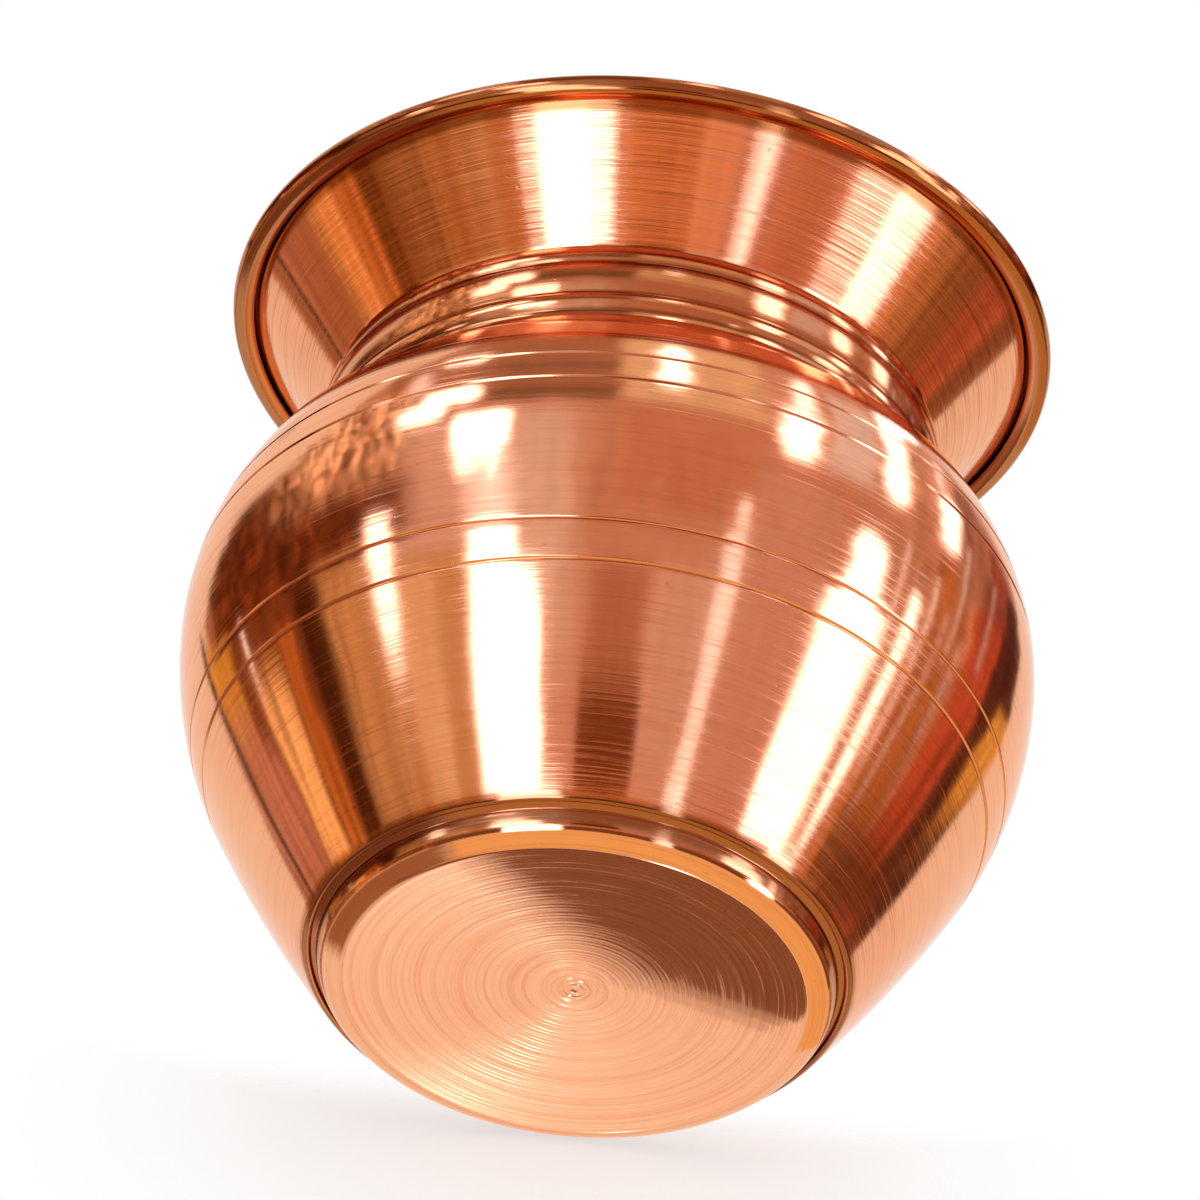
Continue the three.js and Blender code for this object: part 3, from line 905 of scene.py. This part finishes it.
LAMPS = {
    "flare_lamp_left": ((-110, -96.5), (-46, FLARE_LINE), 4.6, 1.2),
    "flare_lamp_thin": ((-75.2, -71.4), (-46, FLARE_LINE), 2.4, 1.6),
    "flare_lamp_right": ((-51, -43), (-46, FLARE_LINE), 4.4, 1.6),
    "tall_lamp": ((-112.5, -101.5), (FLARE_LINE, -25.5), 5.0, 1.6),
    "tall_lamp_middle": ((-111.8, -105), (-27, -18.5), 4.6, 1.6),
    "tall_lamp_fade": ((-111.5, -105.5), (-20, -7), 1.6, 3.0),
    "tall_lamp_top": ((-114.5, -106.3), (-6.5, 0.6), 5.0, 1.0),
    "tall_lamp_tip": ((-113.5, -107), (-11.5, -6), 4.2, 1.6),
    "left_lamp": ((-123, -116), (0.3, 5.2), 4.6, 1.6),
    "left_lamp_top": ((-119.5, -110.8), (4.2, 8.6), 4.4, 1.4),
    "left_lamp_tail": ((-122, -119), (8, 17), 1.5, 2.0),
    "left_lamp_high": ((-118, -110.8), (16.8, 19.4), 3.8, 1.0),
    "left_strip": ((-127.6, -124.2), (-28.5, -14), 4.4, 1.2),
    "left_line": ((-167, -165.8), (-36, -13), 0.04, 0.5),
    "left_glint": ((-155, -154.2), (-27, -19), 1.8, 0.6),
    "thin_strip": ((-75.2, -72.4), (FLARE_LINE, -17), 1.7, 1.0),
    "thin_strip_foot": ((-76.2, -72), (FLARE_LINE, -33), 3.0, 1.0),
    "thin_strip_high": ((-74.2, -72.8), (-17, -11), 2.0, 1.0),
    "right_lamp": ((-58.7, -48.3), (FLARE_LINE, -18.5), 4.6, 1.8),
    "right_lamp_top": ((-56.5, -51), (-19, -8.5), 4.6, 1.6),
    "right_strip": ((-45.2, -43.4), (-33, -13), 4.0, 0.8),
    "right_thread_a": ((-48.1, -47.5), (-30, -6), 1.6, 0.5),
    "right_thread_b": ((-41.6, -40.9), (-30, -8), 1.8, 0.6),
    "right_thread_c": ((-38.3, -37.7), (-31, -12), 1.0, 0.5),
    "right_thread_d": ((-36.1, -35.5), (-20, 2), 1.2, 0.5),
    "right_thread_e": ((-33.8, -33.2), (-28, -14), 0.9, 0.5),
    "right_thread_f": ((-28.7, -28.1), (-16, 0), 0.9, 0.5),
    "high_lamp_a": ((-87, -83), (8.5, 24), 4.6, 1.8),
    "high_lamp_a_tail": ((-86, -83.5), (24, 60), 1.6, 2.0),
    "high_lamp_b": ((-69.5, -64), (-1.5, 12), 4.8, 2.0),
    "high_lamp_b_tail": ((-67.8, -64.8), (12, 23), 3.2, 1.6),
    "high_lamp_c": ((-53, -49), (-1, 27), 4.6, 1.6),
    "high_lamp_c_top": ((-53, -45.5), (22, 26.5), 4.0, 1.2),
    "high_lamp_d": ((-42, -38.5), (-2.5, 11), 4.2, 1.4),
    "high_lamp_d_tail": ((-43, -41), (11, 21), 1.6, 1.4),
}
BASE_LAMPS = {
    "base_glint": ((-70, -58), (-89.95, -86), 15.0, 3.0),
    "base_glint_wide": ((-82, -46), (-89.95, -86), 0.6, 6.0),
    "base_glint_faint": ((68, 80), (-89.95, -86), 3.2, 3.0),
}
# A heap of things at the left: turns, rises, its dark, brown and bright colours, and softness
CLUTTER = ((-163, -121), (-19, 11), (0.08, 0.023, 0.009), (0.31, 0.097, 0.031), (2.6, 2.2, 1.7), 5)
# Corners, in millimetres from the axis and up, of the dark slip that the flat base mirrors
DARK_SLIP = (
    (-60, -96), (-30, -71.5), (-13.6, -59.5), (2.5, -48.5), (9.2, -44.2), (18.3, -41.8), (27.4, -39.6),
    (30.5, -44), (30, -51), (23.5, -62), (0, -71.5), (-15, -76), (-30, -82), (-60, -101))
SLIP_GLOW = (0.25, 0.14, 0.095)
SLIP_CLEARANCE = 0.2
# The layers that soften the slip's edge: how far each is shifted, in millimetres, and how much it covers
SLIP_LAYERS = (("dark_slip", 0.0, 1.0), ("dark_slip_edge", 1.6, 0.45), ("dark_slip_fringe", 3.6, 0.3))


def stage_mesh(name, corners, faces, material):
    """A stage object made from corners and faces"""
    mesh = bpy.data.meshes.new(name)
    mesh.from_pydata(corners, [], faces)
    mesh.materials.append(material)
    item = bpy.data.objects.new(name, mesh)
    bpy.context.collection.objects.link(item)
    return item


def seen_in_mirrors_only(item):
    """Hides a stage object from the camera and keeps it from lighting or shading anything plain"""
    item.visible_camera = False
    item.visible_diffuse = False
    item.visible_shadow = False


def new_glow(name):
    """A new material that glows but isn't used as a lamp"""
    material, book = new_material(name)
    material.cycles.emission_sampling = "NONE"
    return material, book


class Room:
    """The studio round the pot: each place is known by the wall that mirrors it to the camera"""

    def __init__(self, book):
        self.book = book
        ahead = book.direction(book.node("ShaderNodeTexCoord", output="Object"))
        halfway = book.node("ShaderNodeVectorMath", {"operation": "ADD"}, {0: ahead, 1: TO_CAMERA})
        facing = book.direction(halfway)
        x = book.node("ShaderNodeSeparateXYZ", {}, {"Vector": facing})
        sway = (book.noise(facing, scale=14.0, detail=4.0) - 0.5) * SWAY
        nod = (book.noise(facing, scale=11.0, detail=4.0, turn=4.0) - 0.5) * NOD
        self.turn = x.calculated("ARCTAN2", x.other("Y"), x) * math.degrees(1) + sway
        self.rise = x.calculated("ARCSINE", x.other("Z")) * math.degrees(1) + nod
        self.back = book.reach(halfway).ramp(*SHEET_BACK)

    def panel(self, shade, turns, rises, values, soft):
        """The room with one more panel in it"""
        wide = within(self.turn, turns[0], turns[1], soft / 2)
        tall = within(self.rise, rises[0], rises[1], soft / 2)
        return self.book.mixed(wide * tall, shade, values)

    def panels(self, shade, table):
        """The room with all the panels of a table in it"""
        for turns, rises, values, soft in table.values():
            shade = self.panel(shade, turns, rises, solid(values), soft)
        return shade

    def clutter(self, shade):
        """The room with a heap of dark and brown things in it, some of them with bright edges"""
        turns, rises, dark, brown, bright, soft = CLUTTER
        place = self.book.vector(self.turn * 0.3, self.rise * 0.22)
        lumps = self.book.noise(place, scale=1.5, detail=5.0, roughness=0.7).ramp(0.46, 0.6)
        edges = self.book.noise(place, scale=1.7, detail=4.0, roughness=0.65, turn=3.0) - 0.5
        edges = (edges * edges).ramp(0.0009, 0.0001)
        lit = self.rise.ramp(-12.0, -2.0) * self.turn.ramp(-150.0, -136.0)
        heap = self.book.mixed(lumps, solid(dark), solid(brown))
        heap = self.book.mixed(edges * lit, heap, solid(bright))
        return self.panel(shade, turns, rises, heap, soft)

    def streaked(self, shade):
        """The room with fine upright streaks, which are stronger at its sides"""
        across = self.book.vector(self.turn, self.rise * 0.04)
        sides = self.turn.ramp(-122.0, -132.0).largest(self.turn.ramp(-50.0, -44.0))
        streak = self.book.noise(across, scale=1.2, detail=5.0, roughness=0.75).ramp(0.33, 0.67)
        streak = (streak - 0.5) * (0.3 + sides * 0.9) + 1.0
        return self.book.node("ShaderNodeVectorMath", {"operation": "SCALE"}, {0: shade, "Scale": streak})

    def sheet(self):
        """Where the pale sheet covers the room"""
        span = 2 * EDGE_SPAN
        stops = [((turn + 180) / 180, (rise + EDGE_SPAN) / span) for turn, rise in SHEET_EDGE]
        edge = self.book.node("ShaderNodeValToRGB", {"stops": stops}, {0: self.turn * (1 / 180) + 1.0})
        edge = edge * span - EDGE_SPAN
        return (self.rise - edge).ramp(-0.8, 0.8).largest(self.rise.ramp(*SHEET_FOOT))


def studio_room():
    """The glow of the studio: a warm room with panels, a heap and streaks, and a pale sheet over it"""
    material, book = new_glow("studio_room")
    room = Room(book)
    shade = room.panels(solid(ROOM), ROOM_PANELS)
    shade = room.streaked(room.clutter(shade))
    shade = book.mixed(room.sheet(), shade, solid(SHEET))
    shade = room.panels(shade, SHEET_PANELS)
    shade = book.mixed(room.back, shade, solid(SHEET))
    book.surface(book.glow(shade))
    return material


def seen_in_wall(turn, rise):
    """The direction that the camera sees mirrored in a wall which faces this turn and rise, in degrees"""
    turn, rise = math.radians(turn), math.radians(rise)
    facing = Vector((math.cos(rise) * math.cos(turn), math.cos(rise) * math.sin(turn), math.sin(rise)))
    return 2 * facing.dot(TO_CAMERA) * facing - TO_CAMERA


def lamp_card(name, middle, turns, rises, strength, soft):
    """A lamp with soft edges, seen only in the copper; one that reaches the flare's line is cut off there"""
    low = rises[0] if rises[0] == FLARE_LINE else max(rises[0] - soft, LOWEST_RISE)
    columns = max(CARD_STEPS, round((turns[1] - turns[0]) / CARD_STEP))
    rows = max(CARD_STEPS, round(rises[1] - rises[0]))
    across = spread(turns[0] - 2 * soft, turns[1] + 2 * soft, columns)
    along = spread(low, rises[1] + soft, rows)
    spots = [(turn, rise) for rise in along for turn in across]
    corners = [middle + LAMP_DISTANCE * seen_in_wall(turn, rise) for turn, rise in spots]
    width = columns + 1
    faces = []
    for row in range(rows):
        for column in range(columns):
            first = row * width + column
            faces.append((first, first + 1, first + width + 1, first + width))
    firm = (rises[0] - 2 * soft, rises[1]) if low == rises[0] else rises
    card = stage_mesh(name, corners, faces, lamp_glow(name, turns, firm, strength, soft))
    degrees = card.data.uv_layers.new(name="degrees")
    for loop in card.data.loops:
        degrees.data[loop.index].uv = spots[loop.vertex_index]
    seen_in_mirrors_only(card)


def lamp_glow(name, turns, rises, strength, soft):
    """A glow that ends at the lamp's edges in soft fringes"""
    material, book = new_glow(name)
    place = book.node("ShaderNodeTexCoord", output="UV")
    turn = book.node("ShaderNodeSeparateXYZ", {}, {"Vector": place})
    rise = turn.other("Y")
    threads = book.vector(turn * 0.2, rise * 0.7)
    stray = (book.noise(threads, scale=1.0, detail=4.0, roughness=0.65) - 0.5) * (STRAY * soft)
    wide = within(turn + stray, turns[0], turns[1], FRINGE * soft)
    tall = within(rise + stray * 0.5, rises[0], rises[1], FRINGE * soft)
    glow = book.glow(solid([strength * part for part in LAMP]))
    book.surface(book.part_clear((wide * tall).ramp(0.25, 0.75), glow))
    return material


def even_glow(name, values, cover):
    """An even glow of one colour, which covers a share of what is behind it"""
    material, book = new_glow(name)
    book.surface(book.part_clear(cover, book.glow(solid(values))))
    return material


def floor_white(name, along, finish, reach, firm, top):
    """White that keeps a shadow, and fades out at the floor's edge, above its top and on its lower side"""
    material, book = new_glow(name)
    place = book.node("ShaderNodeTexCoord", output="Object")
    below = book.node("ShaderNodeNewGeometry", output="Backfacing")
    beyond = book.reach(place).ramp(reach * firm, reach * FLOOR_END)
    above = book.along(place, along).ramp(top - FLOOR_FADE, top)
    plain = book.node("ShaderNodeBsdfDiffuse", {}, {"Color": solid(finish.floor)})
    white = book.glow(solid(finish.floor))
    shown = book.node("ShaderNodeMixShader", {}, {0: FLOOR_SHADE, 1: white, 2: plain})
    book.surface(book.part_clear(1.0 - below.largest(beyond).largest(above), shown))
    return material


def one_sided_floor(name, middle, along, finish, **extent):
    """A pale round floor, seen from its upper side only, whose second direction is given"""
    material = floor_white(name, along, finish, **extent)
    angles = spread(0, 2 * math.pi, FLOOR_FLATS)[:-1]
    across = Vector((1, 0, 0))
    corners = [extent["reach"] * (math.cos(angle) * across + math.sin(angle) * along) for angle in angles]
    floor = stage_mesh(name, corners, [tuple(range(FLOOR_FLATS))], material)
    floor.location = middle
    floor.visible_diffuse = False
    floor.visible_glossy = False
    floor.visible_transmission = False
    floor.visible_shadow = False


class LOTA_OT_stage(bpy.types.Operator):
    """Makes the floors, the cards that the copper mirrors, the world and the camera"""

    bl_idname = "lota.stage"
    bl_label = "Stage"

    def execute(self, context):
        scene = context.scene
        sizes, finish = scene.lota_sizes, scene.lota_finish
        wall = Pot(sizes).skirt
        touch = wall.centre + wall.radius * flat(math.cos(LYING_TILT), -math.sin(LYING_TILT))
        along = Vector((0, math.sin(LYING_TILT), math.cos(LYING_TILT)))
        middle = Vector((0, touch.x, touch.y)) - along * LYING_SHIFT
        one_sided_floor("lying_floor", middle, along, finish, **LYING_FLOOR)
        one_sided_floor("standing_floor", Vector(), Vector((0, 1, 0)), finish, **STANDING_FLOOR)
        self.surround(sizes.belly_radius)
        self.light_world(scene)
        self.place_camera(scene)
        scene.view_settings.view_transform = "Standard"
        return {"FINISHED"}

    def surround(self, back):
        """The room and lamps that the copper mirrors, and the dark slip that the flat base mirrors"""
        work = bmesh.new()
        bmesh.ops.create_icosphere(work, subdivisions=ROOM_SPLITS, radius=ROOM_RADIUS)
        mesh = bpy.data.meshes.new("studio_room")
        work.to_mesh(mesh)
        work.free()
        mesh.materials.append(studio_room())
        room = bpy.data.objects.new("studio_room", mesh)
        room.location = AIM
        bpy.context.collection.objects.link(room)
        seen_in_mirrors_only(room)
        for name, sizes in LAMPS.items():
            lamp_card(name, AIM, *sizes)
        for name, sizes in BASE_LAMPS.items():
            lamp_card(name, Vector(), *sizes)
        for name, shift, cover in SLIP_LAYERS:
            depth = back + (SLIP_CLEARANCE + shift / 10) / PER_METRE
            corners = [((x - shift) / PER_METRE, depth, (z + shift / 2) / PER_METRE) for x, z in DARK_SLIP]
            glow = even_glow(name, SLIP_GLOW, cover)
            seen_in_mirrors_only(stage_mesh(name, corners, [tuple(range(len(corners)))], glow))

    def light_world(self, scene):
        """A white world, which lights the pot a little less than it shows"""
        world = bpy.data.worlds.new("white_studio")
        world.use_nodes = True
        book = NodeBook(world.node_tree)
        camera = book.node("ShaderNodeLightPath", output="Is Camera Ray")
        shown = camera.largest(camera.other("Is Glossy Ray")).largest(camera.other("Is Transmission Ray"))
        strength = WORLD_LIGHT + shown * (1 - WORLD_LIGHT)
        background = book.node("ShaderNodeBackground", {}, {"Color": (1, 1, 1, 1), "Strength": strength})
        book.node("ShaderNodeOutputWorld", {}, {"Surface": background})
        scene.world = world

    def place_camera(self, scene):
        """The camera at the photograph's angle, with the picture turned by its lean"""
        right = Vector((1, 0, 0))
        up = TO_CAMERA.cross(right)
        leaning_right = right * math.cos(LEAN) + up * math.sin(LEAN)
        leaning_up = up * math.cos(LEAN) - right * math.sin(LEAN)
        lens = bpy.data.cameras.new("photo_camera")
        lens.lens = LENS
        lens.sensor_width = SENSOR
        lens.clip_end = CLIP_END
        camera = bpy.data.objects.new("photo_camera", lens)
        scene.collection.objects.link(camera)
        spot = AIM + TO_CAMERA * (FRAME_WIDTH * LENS / SENSOR)
        turn = Matrix((leaning_right, leaning_up, TO_CAMERA)).transposed()
        camera.matrix_world = Matrix.Translation(spot) @ turn.to_4x4()
        scene.camera = camera


OPERATORS = (LOTA_OT_base_pan, LOTA_OT_body, LOTA_OT_neck, LOTA_OT_mouth, LOTA_OT_seams, LOTA_OT_stage)


class LOTA_PT_panel(bpy.types.Panel):
    """Lists the pieces of the pot, its sizes and its finishes"""

    bl_idname = "LOTA_PT_panel"
    bl_label = "Copper Lota"
    bl_space_type = "VIEW_3D"
    bl_region_type = "UI"
    bl_category = "Lota"

    def draw(self, context):
        column = self.layout.column(align=True)
        for operator in OPERATORS:
            column.operator(operator.bl_idname)
        for group in (context.scene.lota_sizes, context.scene.lota_finish):
            column.separator()
            for name in group.bl_rna.properties.keys():
                if name not in ("rna_type", "name"):
                    column.prop(group, name)


CLASSES = (LotaSizes, LotaFinish, *OPERATORS, LOTA_PT_panel)


def register():
    """Makes the classes and their settings known to Blender"""
    for item in CLASSES:
        bpy.utils.register_class(item)
    bpy.types.Scene.lota_sizes = bpy.props.PointerProperty(type=LotaSizes)
    bpy.types.Scene.lota_finish = bpy.props.PointerProperty(type=LotaFinish)


def unregister():
    """Takes the classes and their settings away again"""
    del bpy.types.Scene.lota_finish
    del bpy.types.Scene.lota_sizes
    for item in reversed(CLASSES):
        bpy.utils.unregister_class(item)


def main():
    """Makes the pot and its stage"""
    register()
    bpy.ops.lota.base_pan()
    bpy.ops.lota.body()
    bpy.ops.lota.neck()
    bpy.ops.lota.mouth()
    bpy.ops.lota.seams()
    bpy.ops.lota.stage()


if __name__ == "__main__":
    main()
